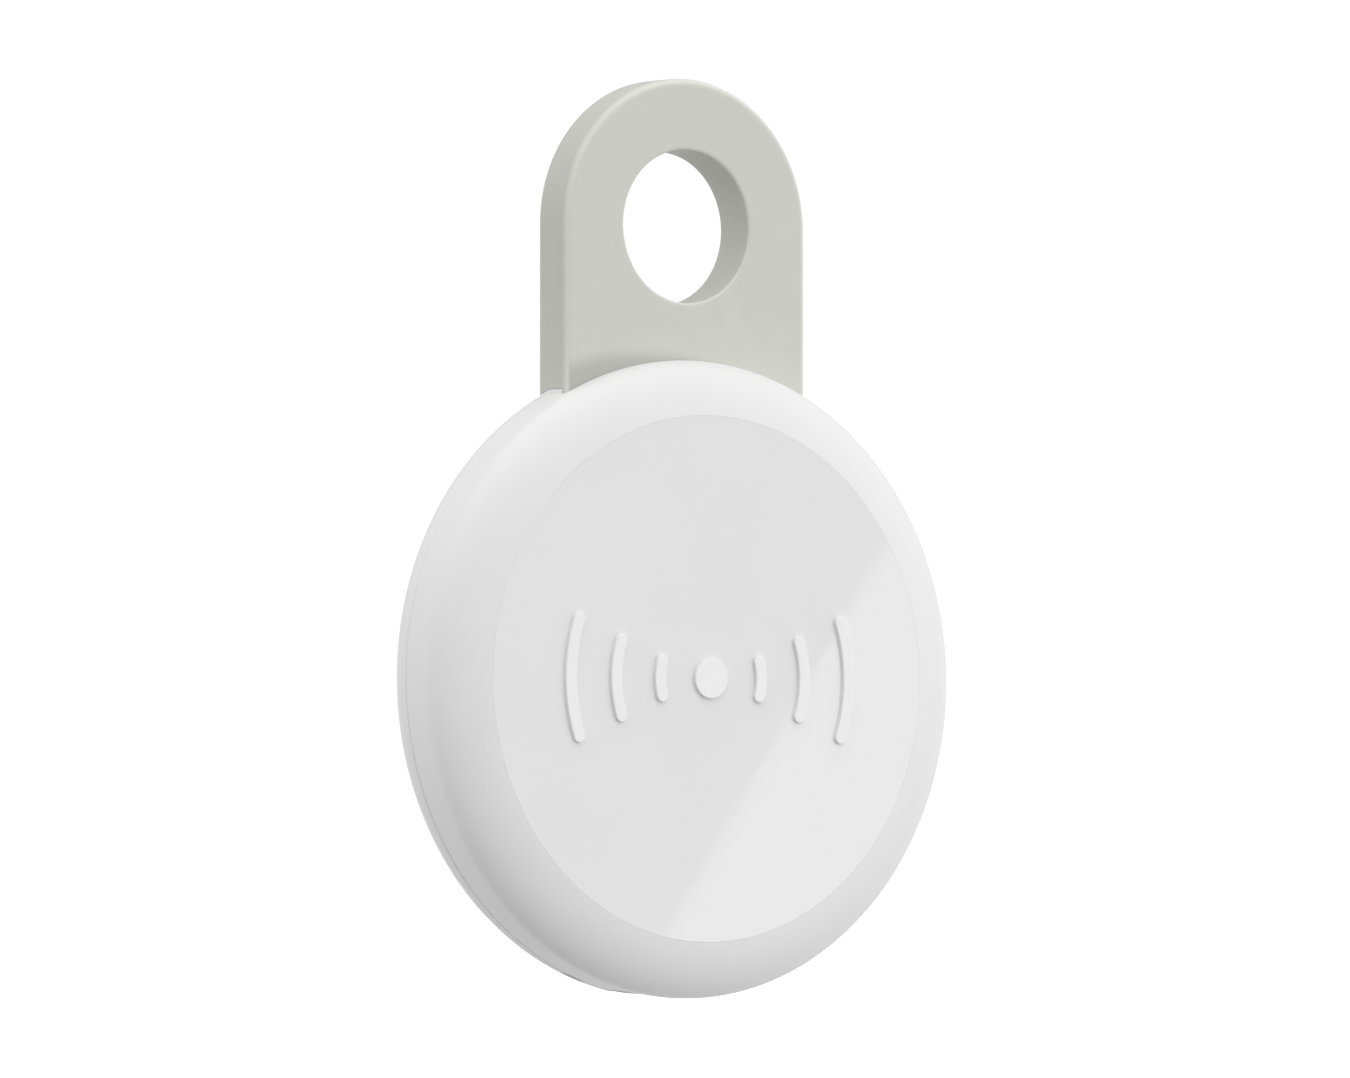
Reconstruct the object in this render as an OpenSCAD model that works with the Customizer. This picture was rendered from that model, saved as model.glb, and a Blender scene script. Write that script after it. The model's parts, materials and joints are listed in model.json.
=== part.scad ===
// Bluetooth tracker tag: a flat round case with a glossy face that presses in like
// a button, a soft loop for a key ring and a rechargeable cell inside.
// It hangs from its loop: the origin is the centre of the loop's hole, +Z is up and
// the face looks along -Y. Lengths are in millimetres.
//
// Each sub-part is drawn on the bench, lying on its back: X to the right, Y towards
// the loop, Z towards the face, with zero on the case's axis at the parting plane.
// hang() then raises it into the part's own frame.

/* [Case] */
// Outer diameter of the case
case_d = 37; // [36.8:0.1:37.6]
// Thickness from the rim's front edge to the flat back
case_t = 7.4; // [7.4:0.1:7.8]
// Wall of the two shells at the rim
wall = 1.6; // [1.5:0.05:1.65]
// Radial width of the rounding round the face
front_round_w = 3.27; // [3.1:0.01:3.3]
// Height of the rounding round the face
front_round_h = 2.1; // [1.9:0.1:2.2]
// Slope parameter of that rounding where it meets the face, in degrees
front_round_start = 25; // [15:1:35]
// Radial width of the softer rounding round the back
back_round_w = 5.2; // [4.6:0.1:5.4]
// Height of the softer rounding round the back
back_round_h = 3.05; // [2.8:0.05:3.1]
// Chamfer on each shell that makes the fine groove at the parting line
seam_chamfer = 0.06; // [0.04:0.01:0.1]

/* [Press face] */
// Travel of the face when it is pressed
press_travel = 0.25; // [0.15:0.05:0.3]
// Gap between the face and the rim round it
face_gap = 0.04; // [0.03:0.01:0.08]
// Height of the raised sign on the face
sign_h = 0.2; // [0.1:0.05:0.25]

/* [Loop] */
// Width of the soft strap
strap_w = 17.2; // [16.6:0.1:17.3]
// Thickness of the soft strap
strap_t = 2.9; // [2.6:0.1:2.9]
// Distance from the case's axis to the centre of the hole
loop_drop = 26.3; // [26:0.1:28]
// Radius of the hole for the key ring
hole_r = 4.45; // [4:0.05:5]

/* [Cell] */
// Diameter of the rechargeable coin cell
cell_d = 20; // [19.5:0.1:20]
// Thickness of the coin cell
cell_t = 2.5; // [2.4:0.05:2.5]

/* [Hidden] */
$fn = 96;
eps = 0.01;

case_r = case_d / 2;
half_t = case_t / 2;
face_r = case_r - front_round_w;
cavity_r = case_r - wall;
round_steps = 13;

// Heights of the press face and of the ledges that hold it
lip_z = half_t - 0.8;
flange_top_z = lip_z - 0.05;
flange_z = flange_top_z - 0.4;
flange_r = face_r + 0.67;
pocket_r = flange_r + 0.15;
shelf_z = flange_z - press_travel - 0.2;
shelf_under_z = shelf_z - 0.4;
shelf_r = face_r - 0.33;
recess_r = 13.5;
recess_h = 0.3;
nub_r = 1.2;
sign_arc_w = 0.75;
sign_dot_r = 1.15;
sign_arc_radii = [3.6, 6.7, 9.9];
sign_half_angle = 22;

// Inside floor of the back shell and the board's place
floor_z = -half_t + 1.05;
board_z = 0.7;
board_t = 0.6;
board_top_z = board_z + board_t;
board_r = cavity_r - 0.5;
standoff_r = 1.1;
peg_r = 0.6;
standoff_spots = [[-13, -6], [13, -6], [-13.4, 4.6], [13.4, 4.6]];

// Strap, slot and posts
slot_gap = 0.1;
slot_w = strap_w + 2 * slot_gap;
slot_t = strap_t + 2 * slot_gap;
hinge_y = case_r + strap_t / 2 + 0.1;
root_y0 = cell_d / 2 + 0.9;
root_y1 = hinge_y - strap_t / 2 - 0.05;
post_r = 1.15;
post_hole_r = 1.25;
post_x = 5;
post_y = 13.4;
rail_in = 0.55;
rail_half_t = 1.1;
rail_gap = 0.05;
groove_x = slot_w / 2 - rail_in - rail_gap;
groove_y = rim_y(groove_x) + rail_gap;
anchor_size = [14.8, 3.8, 0.7];

// Seal at the parting plane
seal_r = case_r - wall / 2;
seal_w = 0.4;
seal_half_t = 0.2;

// Charging port
usb_w = 8.94;
usb_h = 3.2;
usb_len = 7;
usb_wall = 0.25;
usb_mouth_y = -(case_r - 0.9);
usb_back_y = usb_mouth_y + usb_len;
port_w = 8.5;
port_h = 2.7;
port_gap = 0.1;
bulkhead_x = 5;
bulkhead_y1 = -15;
gasket_y0 = -16.2;
gasket_y1 = -15.5;
gasket_w = 0.3;
leg_spots = [-14.1, -11.7];

// Sound opening in the rim, on the lower left
vent_angle = 249;
vent_z = -0.8;
vent_w = 1.6;
vent_h = 0.7;

// Coin cell
cell_r = cell_d / 2;
cell_z0 = board_z - 0.15 - cell_t;
cell_top_z = cell_z0 + cell_t;
can_wall = 0.25;
can_lip_z = cell_top_z - 0.1;
cap_z = cell_top_z - 0.25;
tab_t = 0.12;
tab_w = 3;
frame_wall = 0.4;

// Sounder under the cell
sounder_r = 7.5;
sounder_z = floor_z + 0.2;
sounder_t = 0.15;
ceramic_r = 5;
ceramic_t = 0.12;
lead_w = 0.7;
lead_spots = [-2.2, -3.3];
lead_t = 0.1;
lead_x0 = 5.5;
lead_x1 = 11.5;

// Switch under the middle of the face
switch_r = 2;
switch_z = board_top_z;
switch_base_h = 0.35;
dome_base_z = switch_z + 0.12;
dome_h = 0.14;
dome_shell = 0.05;
plunger_r = 1.2;
plunger_disc_z = switch_z + 0.62;
plunger_tip_r = 0.5;
plunger_tip_z = dome_base_z + dome_shell + press_travel + 0.01;

// Raises a piece from the bench into the part's frame
module hang() {
    translate([0, 0, -loop_drop]) rotate([90, 0, 0]) children();
}

// A box given by its lowest and highest corners
module span(low, high) {
    translate(low) cube(high - low);
}

// A disc or a straight tube from one height to another
module tube(r_out, r_in, z0, z1) {
    translate([0, 0, z0]) difference() {
        cylinder(h = z1 - z0, r = r_out);
        if (r_in > 0) translate([0, 0, -1]) cylinder(h = z1 - z0 + 2, r = r_in);
    }
}

// An oblong with round ends, w wide along X and h high along Z, from y0 to y1
module oblong(w, h, y0, y1) {
    span([-(w - h) / 2, y0, -h / 2], [(w - h) / 2, y1, h / 2]);
    for (side = [-1, 1]) {
        translate([side * (w - h) / 2, y1, 0]) rotate([90, 0, 0]) {
            cylinder(h = y1 - y0, r = h / 2, $fn = 48);
        }
    }
}

// Points of the rim's two roundings, by angle in degrees
function front_round(t) =
    let (a = front_round_w / (1 - sin(front_round_start)))
    let (b = front_round_h / cos(front_round_start))
    [case_r - a + a * sin(t), half_t - front_round_h + b * cos(t)];
function back_round(t) =
    [case_r - back_round_w * (1 - cos(t)), -half_t + back_round_h * (1 - sin(t))];
function rim_y(x) = sqrt(case_r * case_r - x * x);
function spread(from, to, steps) = [for (i = [0:steps]) from + (to - from) * i / steps];

// The ring that the seal and its groove follow, open at the strap and at the port
module seal_path(clear) {
    difference() {
        tube(
            seal_r + seal_w / 2 + clear, seal_r - seal_w / 2 - clear,
            -seal_half_t - clear, seal_half_t + clear
        );
        span([-slot_w / 2 - 1 + clear, 0, -1], [slot_w / 2 + 1 - clear, case_r, 1]);
        span([-usb_w / 2 - 1.3 + clear, -case_r, -1], [usb_w / 2 + 1.3 - clear, 0, 1]);
    }
}

// What both shells leave open: the strap's slot, the charging port and the seal's groove
module shell_openings() {
    difference() {
        span([-slot_w / 2, root_y0, -slot_t / 2], [slot_w / 2, case_r + 1, slot_t / 2]);
        side_blocks(slot_w / 2 - rail_in, case_r + 2, rail_half_t);
    }
    oblong(port_w, port_h, -case_r - 1, usb_mouth_y);
    oblong(usb_w + 2 * port_gap, usb_h + 2 * port_gap, usb_mouth_y - 0.05, bulkhead_y1 + 1);
    oblong(usb_w + 2 * gasket_w, usb_h + 2 * gasket_w, gasket_y0, gasket_y1);
    seal_path(0.03);
}

// Block behind the rim that the charging port runs through
module port_bulkhead(z0, z1) {
    intersection() {
        span([-bulkhead_x, -case_r, z0], [bulkhead_x, bulkhead_y1, z1]);
        tube(cavity_r + 0.1, 0, z0, z1);
    }
}

// Blocks at both ends of the slot: the rails in the shells and the strap's side grooves
module side_blocks(x, y1, half_thickness) {
    width = slot_w / 2 + 1 - x;
    for (side = [-1, 1]) translate([side * (x + width / 2), 0, 0]) {
        span([-width / 2, root_y0 - 1, -half_thickness], [width / 2, y1, half_thickness]);
    }
}

module front_shell() color("whitesmoke") hang() {
    difference() {
        union() {
            rotate_extrude() polygon(concat(
                [[cavity_r, 0], [case_r - seam_chamfer, 0], [case_r, seam_chamfer]],
                [for (t = spread(90, front_round_start, round_steps)) front_round(t)],
                [
                    [face_r, lip_z], [pocket_r, lip_z], [pocket_r, shelf_z],
                    [shelf_r, shelf_z], [shelf_r, shelf_under_z], [cavity_r, shelf_under_z]
                ]
            ));
            port_bulkhead(0, shelf_z - eps);
        }
        shell_openings();
    }
}

module back_shell() color("whitesmoke") hang() {
    difference() {
        union() {
            rotate_extrude() polygon(concat(
                [[0, floor_z], [0, -half_t]],
                [for (t = spread(90, 0, round_steps)) back_round(t)],
                [[case_r, -seam_chamfer], [case_r - seam_chamfer, 0], [cavity_r, 0]],
                [[cavity_r, -1.7], [cavity_r - 0.9, floor_z]]
            ));
            port_bulkhead(floor_z - eps, 0);
            tube(sounder_r, sounder_r - 0.7, floor_z - eps, sounder_z);
            for (spot = standoff_spots) translate(spot) {
                tube(standoff_r, 0, floor_z - eps, board_z);
                tube(peg_r, 0, board_z - eps, board_top_z + 0.3);
            }
            for (side = [-1, 1]) translate([side * post_x, post_y]) {
                tube(post_r, 0, floor_z - eps, strap_t / 2 + 0.1);
            }
        }
        shell_openings();
        vent_slot();
    }
    strap_posts();
}

// The posts that hold the strap, whole above the slot's floor
module strap_posts() {
    for (side = [-1, 1]) translate([side * post_x, post_y]) {
        tube(post_r, 0, -slot_t / 2 - 0.2, strap_t / 2 + 0.1);
    }
}

// The sound opening, cut radially through the back shell's rim
module vent_slot() {
    rotate([0, 0, vent_angle]) translate([0, 0, vent_z]) {
        reach = (vent_w - vent_h) / 2;
        span([cavity_r - 1, -reach, -vent_h / 2], [case_r + 1, reach, vent_h / 2]);
        for (side = [-1, 1]) translate([cavity_r - 1, side * reach, 0]) {
            rotate([0, 90, 0]) cylinder(h = wall + 2, r = vent_h / 2, $fn = 32);
        }
    }
}

module vent_mesh() color("dimgray") hang() {
    rotate([0, 0, vent_angle]) {
        span([cavity_r - 0.16, -1, vent_z - 0.6], [cavity_r - 0.06, 1, vent_z + 0.6]);
    }
}

// Glossy face with its hidden flange, a nub for the switch and a raised signal sign
module face_plate() color("white") hang() {
    difference() {
        union() {
            tube(face_r - face_gap, 0, flange_top_z - eps, half_t);
            tube(flange_r, 0, flange_z, flange_top_z);
        }
        tube(recess_r, 0, flange_z - 1, flange_z + recess_h);
    }
    tube(nub_r, 0, plunger_top_z(), flange_z + recess_h + eps);
    signal_sign();
}

// A dot with arcs spreading to both sides
module signal_sign() {
    tube(sign_dot_r, 0, half_t - eps, half_t + sign_h);
    for (r = sign_arc_radii) for (turn = [0, 180]) {
        rotate([0, 0, turn]) intersection() {
            tube(r + sign_arc_w / 2, r - sign_arc_w / 2, half_t - eps, half_t + sign_h);
            wedge(sign_half_angle, 12, half_t - 1, half_t + 1);
        }
    }
}

// A triangular prism that opens from the axis along X
module wedge(half_angle, reach, z0, z1) {
    side = reach * tan(half_angle);
    translate([0, 0, z0]) linear_extrude(z1 - z0) polygon([[0, 0], [reach, -side], [reach, side]]);
}

module face_gasket() color("gainsboro") hang() {
    tube(flange_r - 0.1, shelf_r + 0.2, shelf_z, flange_z - 0.02);
}

module case_seal() color("gray") hang() seal_path(0);

module strap_loop() color("lightgray") hang() {
    difference() {
        union() {
            span([-strap_w / 2, hinge_y, -strap_t / 2], [strap_w / 2, loop_drop, strap_t / 2]);
            intersection() {
                translate([0, loop_drop, -strap_t / 2]) cylinder(h = strap_t, r = strap_w / 2);
                span([-strap_w, loop_drop - 1, -strap_t], [strap_w, loop_drop + strap_w, strap_t]);
            }
            translate([-strap_w / 2, hinge_y, 0]) rotate([0, 90, 0]) cylinder(h = strap_w, r = strap_t / 2);
        }
        translate([0, loop_drop, -strap_t]) cylinder(h = 2 * strap_t, r = hole_r);
    }
}

// The strap's root between the shells, moulded round its stiff anchor
module strap_root() color("lightgray") hang() {
    difference() {
        span([-strap_w / 2, root_y0, -strap_t / 2], [strap_w / 2, root_y1, strap_t / 2]);
        side_blocks(groove_x, groove_y, rail_half_t + rail_gap);
        anchor_plate();
        post_holes();
    }
}

module strap_anchor() color("slategray") hang() {
    difference() {
        anchor_plate();
        post_holes();
    }
}

module anchor_plate() {
    translate([0, post_y, 0]) cube(anchor_size, center = true);
}

module post_holes() {
    for (side = [-1, 1]) translate([side * post_x, post_y]) tube(post_hole_r, 0, -strap_t, strap_t);
}

// Plastic frame that centres the cell and grips the standoffs
module cell_frame() color("dimgray") hang() {
    ring_r = cell_r + 0.1;
    difference() {
        union() {
            tube(ring_r + frame_wall, 0, cell_z0, board_z - 0.2);
            for (spot = standoff_spots) {
                rotate([0, 0, atan2(spot.y, spot.x)]) {
                    span([ring_r, -1.4, -1], [norm(spot) + 1.6, 1.4, -0.2]);
                }
            }
        }
        tube(ring_r, 0, cell_z0 - 1, board_z + 1);
        for (spot = standoff_spots) translate(spot) tube(standoff_r + 0.05, 0, -2, 1);
    }
}

module main_board() color("darkgreen") hang() {
    difference() {
        tube(board_r, 0, board_z, board_top_z);
        span([-slot_w / 2 - 0.2, root_y0 - 0.3, 0], [slot_w / 2 + 0.2, case_r, 2]);
        span([-usb_w / 2 - 0.13, -case_r, 0], [usb_w / 2 + 0.13, usb_back_y + 0.1, 2]);
        span([-bulkhead_x - 0.2, -case_r, 0], [bulkhead_x + 0.2, bulkhead_y1 + 0.2, 2]);
        for (spot = standoff_spots) translate(spot) tube(peg_r + 0.05, 0, 0, 2);
    }
}

// A flat package on the front of the board
module package(centre, size) {
    translate([centre.x - size.x / 2, centre.y - size.y / 2, board_top_z]) cube(size);
}

module radio_chip() color("black") hang() package([-7.5, 3], [5, 5, 0.6]);
module charge_chip() color("black") hang() package([6.8, -6.6], [3, 3, 0.55]);
module status_light() color("ivory") hang() package([9.6, 7.2], [1.6, 0.8, 0.5]);
module chip_antenna() color("lightblue") hang() package([-13.6, -0.6], [1.6, 3.2, 0.5]);
module crystals() color("silver") hang() {
    package([-3.2, 6.4], [2, 1.6, 0.5]);
    package([-7.4, 7.6], [1.6, 1, 0.5]);
}
module inductors() color("darkslategray") hang() {
    package([9.9, -3.6], [2, 1.6, 0.6]);
    package([-11.3, 3.4], [0.8, 1.6, 0.5]);
}

// Rows of small resistors and capacitors round the chips
module passives() color("tan") hang() {
    for (i = [0:3]) package([-9 + i * 1.1, -0.7], [0.5, 1, 0.35]);
    for (i = [0:3]) package([4.6 + i * 1.2, -9.4], [0.6, 1, 0.35]);
    for (i = [0:2]) package([4, -5.6 - i * 0.9], [1, 0.5, 0.35]);
    for (i = [0:4]) package([10.4, 0.2 + i * 1.1], [1, 0.5, 0.35]);
}

function plunger_top_z() = switch_z + 0.85;
function dome_z() = switch_z + switch_base_h;

module switch_base() color("black") hang() {
    tube(switch_r, plunger_r + 0.35, switch_z, dome_z() + 0.2);
    tube(plunger_r + 0.36, 0, switch_z, switch_z + 0.1);
}

// Thin sprung dome, an open shallow cap that snaps flat
module switch_dome() color("silver") hang() {
    dome_r = plunger_r + 0.25;
    rotate_extrude() polygon([
        [0, dome_base_z + dome_h], [0, dome_base_z + dome_h + dome_shell],
        [dome_r * 0.7, dome_base_z + dome_h / 2 + dome_shell], [dome_r, dome_base_z + dome_shell],
        [dome_r, dome_base_z], [dome_r * 0.7, dome_base_z + dome_h / 2]
    ]);
}

// The plunger's tip reaches the flattened dome when the face is fully pressed
module switch_plunger() color("dimgray") hang() {
    tube(plunger_r, 0, plunger_disc_z, plunger_top_z() - 0.02);
    tube(plunger_tip_r, 0, plunger_tip_z, plunger_disc_z + eps);
}

module cell_can() color("silver") hang() {
    rotate_extrude() polygon([
        [0, cell_z0], [cell_r, cell_z0], [cell_r, can_lip_z],
        [cell_r - 0.75, can_lip_z], [cell_r - 0.75, can_lip_z - 0.2], [cell_r - can_wall, can_lip_z - 0.2],
        [cell_r - can_wall, cell_z0 + can_wall], [0, cell_z0 + can_wall]
    ]);
}

module cell_cap() color("gainsboro") hang() {
    rotate_extrude() polygon([
        [0, cap_z], [0, cell_top_z], [cell_r - 1.4, cell_top_z], [cell_r - 1.4, cap_z - 0.1],
        [cell_r - 0.9, cap_z - 0.1], [cell_r - 0.9, cap_z - 0.3], [cell_r - 1.7, cap_z - 0.3],
        [cell_r - 1.7, cap_z]
    ]);
}

module cell_gasket() color("dimgray") hang() {
    mid_z = can_lip_z - 0.21;
    rotate_extrude() polygon([
        [cell_r - 1.35, mid_z], [cell_r - 0.85, mid_z], [cell_r - 0.85, mid_z - 0.5],
        [cell_r - 0.3, mid_z - 0.5], [cell_r - 0.3, mid_z], [cell_r - 0.78, mid_z],
        [cell_r - 0.78, mid_z + 0.2], [cell_r - 1.35, mid_z + 0.2]
    ]);
}

module cell_winding() color("sienna") hang() {
    tube(cell_r - 0.6, 1, cell_z0 + can_wall + 0.05, cap_z - 0.65);
}

// Welded tabs: one from the cap straight to the board, one round the can's edge
module cell_tabs() color("silver") hang() {
    top_z = cell_top_z + 0.01;
    reach = cell_r + 2;
    span([1, -tab_w / 2, top_z], [reach, tab_w / 2, top_z + tab_t]);
    span([-reach, -tab_w / 2, cell_z0 - tab_t], [-1, tab_w / 2, cell_z0]);
    span([-reach - tab_t, -tab_w / 2, cell_z0 - tab_t], [-reach, tab_w / 2, top_z + tab_t]);
    span([-reach - 1.2, -tab_w / 2, top_z], [-reach, tab_w / 2, top_z + tab_t]);
}

module cell_pad() color("khaki") hang() {
    difference() {
        tube(cell_r - 1.5, 0, cell_top_z + 0.01, board_z - 0.01);
        span([0.8, -tab_w / 2 - 0.2, 0], [cell_r, tab_w / 2 + 0.2, 1]);
    }
}

module sounder_plate() color("goldenrod") hang() {
    tube(sounder_r, 0, sounder_z, sounder_z + sounder_t);
}
module sounder_ceramic() color("white") hang() {
    tube(ceramic_r, 0, sounder_z + sounder_t, sounder_z + sounder_t + ceramic_t);
}
module sounder_ring() color("black") hang() {
    tube(sounder_r + 0.5, sounder_r + 0.02, floor_z, sounder_z + sounder_t);
}

// Two flat leads from the sounder's plate to the board, beside the cell
module sounder_leads() color("orange") hang() {
    z0 = sounder_z + sounder_t + 0.01;
    for (y = lead_spots) {
        span([lead_x0, y - lead_w / 2, z0], [lead_x1, y + lead_w / 2, z0 + lead_t]);
        span([lead_x1 - lead_t, y - lead_w / 2, z0], [lead_x1, y + lead_w / 2, board_z - 0.01]);
    }
}

// Metal shell of the charging socket, with four legs on the board
module usb_shell() color("silver") hang() {
    difference() {
        oblong(usb_w, usb_h, usb_mouth_y, usb_back_y);
        oblong(usb_w - 2 * usb_wall, usb_h - 2 * usb_wall, usb_mouth_y - 1, usb_back_y - usb_wall);
    }
    for (side = [-1, 1]) for (y = leg_spots) {
        span([side * 4.45 - 1.05, y - 0.5, board_top_z], [side * 4.45 + 1.05, y + 0.5, board_top_z + 0.2]);
    }
}

module usb_tongue() color("black") hang() {
    oblong(
        usb_w - 2 * usb_wall - 0.04, usb_h - 2 * usb_wall - 0.04,
        usb_back_y - 1.5, usb_back_y - usb_wall - 0.02
    );
    span([-3.35, usb_mouth_y + 0.5, -0.35], [3.35, usb_back_y - 1.49, 0.35]);
}

module usb_contacts() color("gold") hang() {
    for (side = [-1, 1]) for (i = [-5.5:5.5]) {
        translate([i * 0.5, usb_mouth_y + 2.4, side * 0.375]) cube([0.25, 3.2, 0.05], center = true);
    }
}

module port_gasket() color("gray") hang() {
    difference() {
        oblong(
            usb_w + 2 * gasket_w - 0.04, usb_h + 2 * gasket_w - 0.04,
            gasket_y0 + 0.02, gasket_y1 - 0.02
        );
        oblong(usb_w + 0.04, usb_h + 0.04, gasket_y0 - 1, gasket_y1 + 1);
    }
}

front_shell();
back_shell();
face_plate();
face_gasket();
case_seal();
strap_loop();
strap_root();
strap_anchor();
cell_frame();
main_board();
radio_chip();
charge_chip();
crystals();
chip_antenna();
passives();
inductors();
status_light();
switch_base();
switch_dome();
switch_plunger();
cell_can();
cell_cap();
cell_gasket();
cell_winding();
cell_tabs();
cell_pad();
sounder_plate();
sounder_ceramic();
sounder_ring();
sounder_leads();
vent_mesh();
usb_shell();
usb_tongue();
usb_contacts();
port_gasket();
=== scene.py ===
"""Looks of the bluetooth tracker tag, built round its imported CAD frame.

Every piece is made in the frame's own metres. Case pieces are drawn as (radius, height)
outlines, where height is measured from the parting plane towards the glossy face.
"""
import json
import math

import bmesh
import bpy
from mathutils import Matrix, Vector


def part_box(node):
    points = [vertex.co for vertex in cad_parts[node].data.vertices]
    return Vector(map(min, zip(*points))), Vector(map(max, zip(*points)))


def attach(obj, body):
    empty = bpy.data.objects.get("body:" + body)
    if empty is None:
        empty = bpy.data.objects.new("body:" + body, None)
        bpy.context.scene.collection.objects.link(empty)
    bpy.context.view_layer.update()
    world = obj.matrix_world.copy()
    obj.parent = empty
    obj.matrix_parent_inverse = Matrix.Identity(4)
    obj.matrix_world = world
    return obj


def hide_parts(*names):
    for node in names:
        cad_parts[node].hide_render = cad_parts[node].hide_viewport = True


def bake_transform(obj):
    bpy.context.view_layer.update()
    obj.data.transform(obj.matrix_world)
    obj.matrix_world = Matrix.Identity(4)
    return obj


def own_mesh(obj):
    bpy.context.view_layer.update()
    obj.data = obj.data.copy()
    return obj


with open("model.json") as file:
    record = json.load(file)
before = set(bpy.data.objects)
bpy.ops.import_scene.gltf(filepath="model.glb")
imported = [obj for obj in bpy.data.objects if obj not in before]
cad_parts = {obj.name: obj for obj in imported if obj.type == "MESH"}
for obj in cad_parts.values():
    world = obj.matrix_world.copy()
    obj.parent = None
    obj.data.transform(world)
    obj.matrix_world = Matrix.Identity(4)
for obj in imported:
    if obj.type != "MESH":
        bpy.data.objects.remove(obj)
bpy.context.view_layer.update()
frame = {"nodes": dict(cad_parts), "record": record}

MM = 0.001

# Places and sizes that the frame gives
rim_low, rim_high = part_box("front_shell")
back_low, back_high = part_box("back_shell")
face_low, face_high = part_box("face_plate")
loop_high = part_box("strap_loop")[1]
root_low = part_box("strap_root")[0]
gasket_low, gasket_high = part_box("face_gasket")
dome_low, dome_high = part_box("switch_dome")
port_low, port_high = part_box("usb_shell")
CASE_R = (rim_high.x - rim_low.x) / 2
CASE_Z = rim_high.z - CASE_R
FRONT_H = -rim_low.y
BACK_H = -back_high.y
HOLE_R = next(m["dims"]["r_mm"] for m in frame["record"]["mounts"] if m["name"] == "loop_hole") * MM
STRAP_W = loop_high.x
STRAP_H = loop_high.y

# Shape of the case, as in the CAD
WALL = 1.6 * MM
FRONT_ROUND_W = 3.27 * MM
FRONT_ROUND_H = 2.1 * MM
FRONT_ROUND_START = 25
BACK_ROUND_W = 5.2 * MM
BACK_ROUND_H = 3.05 * MM
CRISP_EDGE = 0.008 * MM
FACE_OPENING_R = CASE_R - FRONT_ROUND_W
LIP_H = FRONT_H - 0.8 * MM
POCKET_R = FACE_OPENING_R + 0.82 * MM
SHELF_R = FACE_OPENING_R - 0.33 * MM
SHELF_H = LIP_H - 0.9 * MM
SHELF_T = 0.4 * MM
FLOOR_T = 1.05 * MM
FLANGE_TOP_H = LIP_H - 0.05 * MM
FLANGE_LOW_H = LIP_H - 0.45 * MM
RECESS_R = 13.5 * MM
RECESS_H = FLANGE_LOW_H + 0.3 * MM
NUB_R = 1.2 * MM

# Seam between the shells, a little behind the CAD's parting plane, and its bevels
SEAM = 0.06 * MM
SEAM_H = -0.3 * MM

# Rails in the strap's sides, the charging port and the sound opening
RAIL_IN = 0.55 * MM
RAIL_HALF_T = 1.1 * MM
RAMP_START = 0.2 * MM
SOCKET_H = 3.2 * MM
PORT_W = 8.5 * MM
PORT_H = 2.7 * MM
VENT_ANGLE = 249
VENT_H = -0.65 * MM
VENT_W = 1.6 * MM
VENT_T = 0.7 * MM

# Gaps that only just show, round the face and round the strap
FACE_GAP = 0.006 * MM
STRAP_GAP = 0.02 * MM

# Edges of the soft strap
STRAP_EDGE = 0.45 * MM
HOLE_EDGE = 0.18 * MM

# Painted shadow of the case's rim on the foot of the strap: where it lies
STRAP_PAINTED_SHADOW_SHIFT = Vector((-3.04, 0, 0.56)) * MM

# Raised sign on the face
SIGN_RADII = [3.6 * MM, 6.7 * MM, 9.9 * MM]
SIGN_HALF_ANGLE = 22
SIGN_HALF_W = 0.375 * MM
SIGN_DOT_R = 1.15 * MM
SIGN_EDGE = 0.06 * MM

# Camera: angles in degrees, lens in its usual millimetres
CAMERA_AZIMUTH = -35.7
CAMERA_ELEVATION = -1.6
CAMERA_DISTANCE = 577.25 * MM
CAMERA_AIM = Vector((-1.76, -2.71, -18.22)) * MM
CAMERA_LENS = 266.3

# Softbox that is mirrored in the glossy face
SOFTBOX_AZIMUTH = 36.73
SOFTBOX_ELEVATION = 0.08
SOFTBOX_DISTANCE = 0.5
SOFTBOX_ROLL = 60.5
SOFTBOX_LENGTH = 0.5
SOFTBOX_WIDTH = 0.24
SOFTBOX_RADIANCE = 1.57

# Light from all round: a level, and broad lobes of light or of shade with their strengths
WORLD_LEVEL = 1.08
WORLD_LOBES = [
    (Vector((0, 0, 1)), 0.74),
    (Vector((0, 0, -1)), -0.74),
    (Vector((1, 0, 0)), 0.28),
    (Vector((-1, -1, -1)), -0.76),
    (Vector((1, 1, 1)), -0.84),
    (Vector((-1, 1, 1)), -0.32),
]
BACKDROP_LEVEL = 1.05
FLOOR_DROP = 30 * MM
FLOOR_REACH = 3

LATHE_STEPS = 360


# ---------------------------------------------------------------- mesh tools

def new_piece(name, points, faces):
    """A mesh piece with outward normals, from its points and faces."""
    mesh = bpy.data.meshes.new(name)
    mesh.from_pydata([tuple(p) for p in points], [], faces)
    shape = bmesh.new()
    shape.from_mesh(mesh)
    bmesh.ops.remove_doubles(shape, verts=shape.verts, dist=1e-8)
    bmesh.ops.recalc_face_normals(shape, faces=shape.faces)
    shape.to_mesh(mesh)
    shape.free()
    piece = bpy.data.objects.new(name, mesh)
    bpy.context.scene.collection.objects.link(piece)
    return piece


def soften(piece, angle=35):
    """Smooth shading that stays crisp at edges sharper than the angle."""
    for face in piece.data.polygons:
        face.use_smooth = True
    piece.data.set_sharp_from_angle(angle=math.radians(angle))


def carve(piece, cutters, operation="DIFFERENCE"):
    """Cuts each cutter out of the piece, or joins it on, and removes the cutters."""
    for cutter in cutters:
        change = piece.modifiers.new("carve", "BOOLEAN")
        change.operation = operation
        change.solver = "EXACT"
        change.object = cutter
    graph = bpy.context.evaluated_depsgraph_get()
    mesh = bpy.data.meshes.new_from_object(piece.evaluated_get(graph))
    piece.modifiers.clear()
    piece.data = mesh
    for cutter in cutters:
        bpy.data.objects.remove(cutter)


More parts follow.
